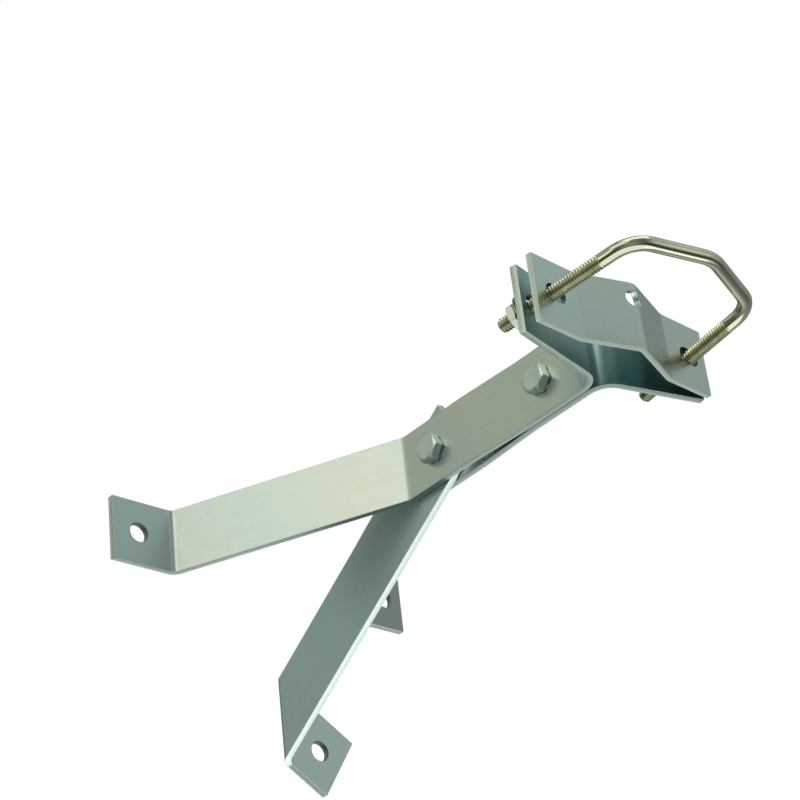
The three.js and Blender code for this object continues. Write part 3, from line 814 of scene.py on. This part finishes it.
# ---------------------------------------------------------------- V-bolt
def make_vbolt():
    end = V_CORNER + V_LEG * math.tan(V_SPLAY)
    path = Path([(-end, V_LEG - V_DEPTH, 0), (-V_CORNER, -V_DEPTH, R_CORNER), (0, -V_DEPTH - V_RISE, R_APEX),
                 (V_CORNER, -V_DEPTH, R_CORNER), (end, V_LEG - V_DEPTH, 0)])
    L, M = path.length, 36
    phi = np.linspace(0, 2 * math.pi, M, endpoint=False)
    step = PITCH / 13
    s_in = max(THREAD_LEFT, THREAD_RIGHT) + 1.5
    a = list(np.arange(0, s_in, step))
    b = list(np.linspace(s_in, L - s_in, int((L - 2 * s_in) / 0.7)))
    S = np.array(a + b[:-1] + [L - v for v in reversed(a)])
    p, t = path.at(S)
    rings, depth = [], []
    for k, s in enumerate(S):
        e = min(s, L - s)
        turn = phi if s < L / 2 else -phi
        w = np.abs(2 * ((e / PITCH - turn / (2 * math.pi)) % 1) - 1)
        fade = np.clip(((THREAD_LEFT if s < L / 2 else THREAD_RIGHT) - e) / 1.6, 0, 1)
        cut = (ROD_R - thread_form(w, ROD_R, THREAD_D)) * fade
        body = ROD_R - 0.10 * (1 - fade)
        r = body - cut
        r = np.minimum(r, 2.15 + e * 0.95)
        rings.append(r)
        depth.append(cut / THREAD_D)
    verts, dep = [], []
    n2 = np.stack([-t[:, 1], t[:, 0]], -1)
    for k in range(len(S)):
        r = rings[k]
        x = p[k, 0] + n2[k, 0] * r * np.cos(phi)
        y = p[k, 1] + n2[k, 1] * r * np.cos(phi)
        z = r * np.sin(phi)
        verts.append(np.stack([x, y, z], -1))
        dep.append(depth[k])
    V = np.concatenate(verts)
    D = np.concatenate(dep)
    faces, ids = [], []
    for k in range(len(S) - 1):
        e = min(S[k], L - S[k])
        for i in range(M):
            j = (i + 1) % M
            faces.append((k * M + i, k * M + j, (k + 1) * M + j, (k + 1) * M + i))
            ids.append(1 if e < (THREAD_LEFT if S[k] < L / 2 else THREAD_RIGHT) - 0.2 else 0)
    # ends: a flat sawn face inside the chamfer
    V, D = list(V), list(D)
    for first in (True, False):
        k = 0 if first else len(S) - 1
        ring0 = k * M
        outward = -t[k] if first else t[k]
        prev = list(range(ring0, ring0 + M))
        for rr, dz in ((1.9, 0.10), (1.2, 0.12)):
            new = []
            for i in range(M):
                x = p[k, 0] + n2[k, 0] * rr * math.cos(phi[i]) + outward[0] * dz * 0
                y = p[k, 1] + n2[k, 1] * rr * math.cos(phi[i]) + outward[1] * dz * 0
                new.append(len(V))
                V.append(np.array([x, y, rr * math.sin(phi[i])]))
                D.append(0.1)
            for i in range(M):
                j = (i + 1) % M
                f = (prev[j], prev[i], new[i], new[j])
                faces.append(f if first else tuple(reversed(f)))
                ids.append(0)
            prev = new
        c = len(V)
        V.append(np.array([p[k, 0], p[k, 1], 0.0]))
        D.append(0.1)
        for i in range(M):
            j = (i + 1) % M
            f = (prev[j], prev[i], c)
            faces.append(f if first else tuple(reversed(f)))
            ids.append(0)
    V = np.array(V) @ v_rot.T + v_pos
    ob = build("v_bolt_rod", V, faces, [M_ROD, M_THREAD], "clamp", ["v_bolt"], ids)
    at = ob.data.attributes.new("depth", "FLOAT", "POINT")
    at.data.foreach_set("value", np.array(D, np.float32))
    return ob


make_vbolt()


# ---------------------------------------------------------------- nuts and washers on the V-bolt
def basis(z, origin):
    q = Vector((0, 0, 1)).rotation_difference(Vector(z))
    return Matrix.Translation(Vector(origin)) @ q.to_matrix().to_4x4()


def make_nut(name, af, height, bore, matrix, corner0, body, node_name, mat, z0=0.0):
    phi = hex_angles(corner0)
    R = hex_radius(phi, corner0, af)
    r0 = af / 2 * 0.955
    k = math.tan(math.radians(30))
    hi, lo = z0 + height, z0
    sink = min(bore + 0.55, r0 - 0.4)
    P = [ring(phi, bore, z0 + height / 2), ring(phi, bore, hi - 0.55), ring(phi, sink, hi), ring(phi, r0, hi),
         np.stack([R, hi - (R - r0) * k], -1), np.stack([R, lo + (R - r0) * k], -1), ring(phi, r0, lo), ring(phi, sink, lo),
         ring(phi, bore, lo + 0.55), ring(phi, bore, z0 + height / 2 - 0.01)]
    rings = fillet(P, {1: 0.15, 2: 0.12, 3: 0.12, 4: 0.16, 5: 0.16, 6: 0.12, 7: 0.12, 8: 0.15})
    v, f = lathe(rings, phi, matrix, close_profile=True)
    return build(name, v, f, [mat], body, [node_name])


for side, tag in ((-1, "left"), (1, "right")):
    nf, u = flange_normal(side), leg_dir(side)
    hit = leg_hit(side, np.array([0, TIP_Y0, 0]) - nf * T, nf)
    lean = math.acos(abs(float(u @ nf)))
    off = (WASHER_R * math.sin(lean) + GAP) / math.cos(lean)
    mat4 = basis(u, hit + u * off)
    phi = np.linspace(0, 2 * math.pi, 72, endpoint=False)
    prof = [(V_BORE_R, 0.7), (V_BORE_R, 0.3), (V_BORE_R + 0.25, 0.02), (WASHER_R - 0.25, 0.02), (WASHER_R - 0.02, 0.22), (WASHER_R - 0.02, 0.58),
            (V_NUT_AF / 2 + 0.5, 1.22), (V_NUT_AF / 2 + 0.2, 1.38), (V_BORE_R + 0.2, 1.38), (V_BORE_R, 1.22), (V_BORE_R, 0.71)]
    rings = fillet([ring(phi, r, z) for r, z in prof], {2: 0.1, 3: 0.1, 4: 0.12, 5: 0.25, 6: 0.3, 7: 0.1, 8: 0.1})
    v, f = lathe(rings, phi, mat4, close_profile=True)
    build("nut_foot_" + tag, v, f, [M_NUT], "washer_" + tag, ["nut_washer_" + tag])
    make_nut("v_nut_" + tag, V_NUT_AF, V_NUT_H, V_BORE_R - 0.12, mat4, 30.0, "nut_" + tag, "clamp_nut_" + tag, M_NUT, WASHER_H + GAP)


# ---------------------------------------------------------------- stem bolts and nuts
def make_bolt(tag, y, x_face, turn):
    M = Matrix.Translation((-x_face - GAP, y, 0)) @ Matrix.Rotation(math.pi / 2, 4, "Y")
    c0 = 30.0 + math.degrees(turn)
    phi = hex_angles(c0)
    R = hex_radius(phi, c0, HEAD_AF)
    r0, k, H, r_s = HEAD_AF / 2 * 0.905, math.tan(math.radians(30)), HEAD_H, SHANK_R
    rw = HEAD_AF / 2 * 0.93
    end = SHANK_L
    # from the head's dished top round to the shank
    P = [ring(phi, 0, -H + 0.08), ring(phi, 2.8, -H + 0.06), ring(phi, 3.4, -H), ring(phi, r0, -H), np.stack([R, -H + (R - r0) * k], -1), np.stack([R, np.full(len(phi), -0.42)], -1),
         ring(phi, rw, -0.36), ring(phi, rw - 0.05, 0.0), ring(phi, r_s + 0.1, 0.0), ring(phi, r_s, 0.15)]
    rings = fillet(P, {2: 0.3, 3: 0.16, 4: 0.18, 5: 0.14, 7: 0.05, 8: 0.05})
    depth = [np.zeros(len(phi))] * len(rings)
    zs = np.arange(0.3, end - 0.001, PITCH / 12)
    for z in zs:
        e = end - z
        w = np.abs(2 * ((z / PITCH - phi / (2 * math.pi)) % 1) - 1)
        fade = float(np.clip((z - 1.2) / 1.5, 0, 1))
        cut = (r_s - thread_form(w, r_s, THREAD_D)) * fade
        rings.append(np.stack([np.minimum(r_s - cut, 2.3 + e * 0.9), np.full(len(phi), z)], -1))
        depth.append(cut / THREAD_D)
    for rr, z in ((2.2, end - 0.02), (1.9, end), (1.0, end - 0.02), (0, end - 0.02)):
        rings.append(ring(phi, rr, z))
        depth.append(np.full(len(phi), 0.1))
    v, f = lathe(rings, phi, M)
    D = []
    for r, d in zip(rings, depth):
        D += [float(d[0])] if np.all(r[:, 0] < 1e-9) else list(d)
    # the head's faces come first
    first = sum(1 for r in rings[: len(rings) - len(zs) - 4])
    per = len(phi)
    ids = [0 if i // per < first else 1 for i in range(len(f))]
    ob = build("hex_bolt_" + tag, v, f, [M_HARD, M_THREAD_B], "bolt_" + tag, ["stem_bolt_" + tag], ids)
    at = ob.data.attributes.new("depth", "FLOAT", "POINT")
    at.data.foreach_set("value", np.array(D, np.float32))
    N = Matrix.Translation((x_face + GAP, y, 0)) @ Matrix.Rotation(math.pi / 2, 4, "Y")
    make_nut("hex_nut_" + tag, NUT_AF, NUT_H, BORE_R - 0.15, N, 30.0 + math.degrees(turn * 1.7), "nut_" + tag, "stem_nut_" + tag, M_HARD)


make_bolt("front", Y_BOLT_FRONT, GAP / 2 + T + 0.03, 0.26)
make_bolt("rear", Y_BOLT_REAR, T / 2 + GAP + T, 0.12)


# ---------------------------------------------------------------- floor, light, camera
def direction(az, el):
    a, e = math.radians(az), math.radians(el)
    return Vector((math.sin(a) * math.cos(e), -math.cos(a) * math.cos(e), math.sin(e)))


def floor():
    me = bpy.data.meshes.new("floor")
    n, r = 64, 14.0
    vs = [(0, 0, -1.25)] + [(r * math.cos(2 * math.pi * k / n), r * math.sin(2 * math.pi * k / n), -1.25) for k in range(n)]
    me.from_pydata(vs, [], [(0, 1 + k, 1 + (k + 1) % n) for k in range(n)])
    m = bpy.data.materials.new("floor_paint")
    m.use_nodes = True
    nt = m.node_tree
    p = nt.nodes["Principled BSDF"]
    tc = node(nt, "ShaderNodeTexCoord").outputs["Object"]
    c = ramp(nt, noise(nt, tc, 2.0, 3, 0.5), [(0.3, (0.80, 0.80, 0.79)), (0.7, (0.84, 0.84, 0.83))])
    nt.links.new(c, p.inputs["Base Color"])
    p.inputs["Roughness"].default_value = 0.85
    me.materials.append(m)
    ob = bpy.data.objects.new("floor", me)
    bpy.context.scene.collection.objects.link(ob)
    ob.visible_glossy = False      # the room, not the floor, is what the metal mirrors


floor()


def area_light(name, az, el, dist, size, radiance, colour, aim=(0, -0.13, -0.02)):
    L = bpy.data.lights.new(name, "AREA")
    L.shape = "RECTANGLE"
    L.size, L.size_y = size
    L.energy = radiance * math.pi * size[0] * size[1]
    L.color = colour
    ob = bpy.data.objects.new(name, L)
    pos = Vector(aim) + direction(az, el) * dist
    ob.location = pos
    ob.rotation_euler = (Vector(aim) - pos).to_track_quat("-Z", "Y").to_euler()
    bpy.context.scene.collection.objects.link(ob)
    ob.visible_camera = False
    return ob


area_light("key", -73, 31, 3.2, (2.6, 2.2), 0.84, (1.0, 0.995, 0.90))
area_light("top", -20, 66, 3.0, (2.6, 2.2), 1.3, (1.0, 0.99, 0.90))

# the studio around the object: a dark smooth room with soft bright panels, also low down
world = bpy.data.worlds.new("studio")
bpy.context.scene.world = world
world.use_nodes = True
nt = world.node_tree
nt.nodes.clear()
wout = node(nt, "ShaderNodeOutputWorld")
tc = node(nt, "ShaderNodeTexCoord").outputs["Generated"]


def lobe(az, el, sharp, amount):
    d = direction(az, el)
    n = node(nt, "ShaderNodeVectorMath", operation="DOT_PRODUCT")
    nt.links.new(tc, n.inputs[0])
    n.inputs[1].default_value = d
    x = math_node(nt, "MULTIPLY", math_node(nt, "SUBTRACT", n.outputs["Value"], 1.0), sharp)
    return math_node(nt, "MULTIPLY", math_node(nt, "EXPONENT", x), amount)


room = (0.012, 0.030, 0.032)
colour = None
for az, el, sharp, amount, tint in (
    (-84, 30, 7.0, 0.30, (1.0, 1.0, 0.90)),
    (-136, 32, 9.0, 0.35, (1.0, 1.02, 0.82)),
    (34, 31, 6.0, 0.20, (0.80, 1.0, 0.98)),
    (15, 31, 22.0, 0.16, (1.0, 1.0, 0.97)),
    (60, 34, 10.0, 0.28, (0.86, 1.0, 0.96)),
    (100, 30, 9.0, 0.14, (1.0, 0.97, 0.88)),
    (22, 0, 22.0, 0.70, (1.0, 1.0, 0.84)),
    (48, -2, 26.0, 0.26, (1.0, 1.0, 0.88)),
    (76, -2, 22.0, 0.14, (1.0, 1.0, 0.92)),
    (-106, 2, 42.0, 2.20, (1.0, 1.0, 0.76)),
    (40, 68, 10.0, 0.50, (1.0, 0.99, 0.80)),
    (-160, 60, 10.0, 0.35, (1.0, 0.99, 0.80)),
    (-43, 32, 8.0, 0.22, (1.0, 1.0, 0.92)),
    (72, -53, 40.0, 1.00, (0.95, 1.0, 0.97)),
    (138, -28, 10.0, 0.40, (0.96, 1.0, 0.95)),
    (152, -14, 8.0, 0.34, (0.98, 1.0, 0.96)),
    (-160, -14, 8.0, 0.34, (0.98, 1.0, 0.96)),
    (-40, -24, 9.0, 0.34, (0.98, 1.0, 0.96)),
    (104, -12, 14.0, 0.22, (0.98, 1.0, 0.96)),
):
    f = lobe(az, el, sharp, amount)
    n = node(nt, "ShaderNodeVectorMath", operation="SCALE")
    n.inputs[0].default_value = tint
    nt.links.new(f, n.inputs["Scale"])
    if colour is None:
        colour = n.outputs[0]
    else:
        a = node(nt, "ShaderNodeVectorMath", operation="ADD")
        nt.links.new(colour, a.inputs[0])
        nt.links.new(n.outputs[0], a.inputs[1])
        colour = a.outputs[0]
# a white table straight below, which ends some way out
sep = node(nt, "ShaderNodeSeparateXYZ")
nt.links.new(tc, sep.inputs[0])
low = node(nt, "ShaderNodeMapRange", interpolation_type="SMOOTHSTEP")
nt.links.new(sep.outputs[2], low.inputs["Value"])
low.inputs["From Min"].default_value = -0.75
low.inputs["From Max"].default_value = -0.83
low.inputs["To Min"].default_value = 0.0
low.inputs["To Max"].default_value = 1.0
table = node(nt, "ShaderNodeVectorMath", operation="SCALE")
table.inputs[0].default_value = (1.25, 1.33, 1.27)
nt.links.new(low.outputs[0], table.inputs["Scale"])
a = node(nt, "ShaderNodeVectorMath", operation="ADD")
nt.links.new(colour, a.inputs[0])
nt.links.new(table.outputs[0], a.inputs[1])
colour = a.outputs[0]
a = node(nt, "ShaderNodeVectorMath", operation="ADD")
nt.links.new(colour, a.inputs[0])
a.inputs[1].default_value = room
studio = node(nt, "ShaderNodeBackground")
nt.links.new(a.outputs[0], studio.inputs[0])
white = node(nt, "ShaderNodeBackground")
white.inputs[0].default_value = (1, 1, 1, 1)
lp = node(nt, "ShaderNodeLightPath")
fill = node(nt, "ShaderNodeBackground")      # even light for matt surfaces, so the floor stays pale
fill.inputs[0].default_value = (0.62, 0.62, 0.61, 1)
soft = node(nt, "ShaderNodeMixShader")
nt.links.new(lp.outputs["Is Diffuse Ray"], soft.inputs[0])
nt.links.new(studio.outputs[0], soft.inputs[1])
nt.links.new(fill.outputs[0], soft.inputs[2])
mx = node(nt, "ShaderNodeMixShader")
nt.links.new(lp.outputs["Is Camera Ray"], mx.inputs[0])
nt.links.new(soft.outputs[0], mx.inputs[1])
nt.links.new(white.outputs[0], mx.inputs[2])
nt.links.new(mx.outputs[0], wout.inputs[0])

cam = bpy.data.cameras.new("camera")
cam.sensor_width = 36
cam.sensor_fit = "HORIZONTAL"
cam.lens = 2264.63 / 800 * 36
cam.shift_x = (400 - 416.459) / 800
cam.shift_y = (399.911 - 400) / 800
cam.clip_start, cam.clip_end = 0.01, 60
cam.dof.use_dof = False
right, down, fwd = Vector((0.7630762, -0.6376711, -0.1053107)), Vector((0.2604706, 0.4525428, -0.8528541)), Vector((0.5914980, 0.6233623, 0.5114192))
co = bpy.data.objects.new("camera", cam)
m = Matrix.Identity(4)
for i in range(3):
    m[i][0], m[i][1], m[i][2] = right[i], -down[i], -fwd[i]
m[0][3], m[1][3], m[2][3] = -0.568137, -0.707891, -0.459451
co.matrix_world = m
bpy.context.scene.collection.objects.link(co)
bpy.context.scene.camera = co
bpy.context.scene.view_settings.view_transform = "Standard"
bpy.context.scene.view_settings.look = "None"
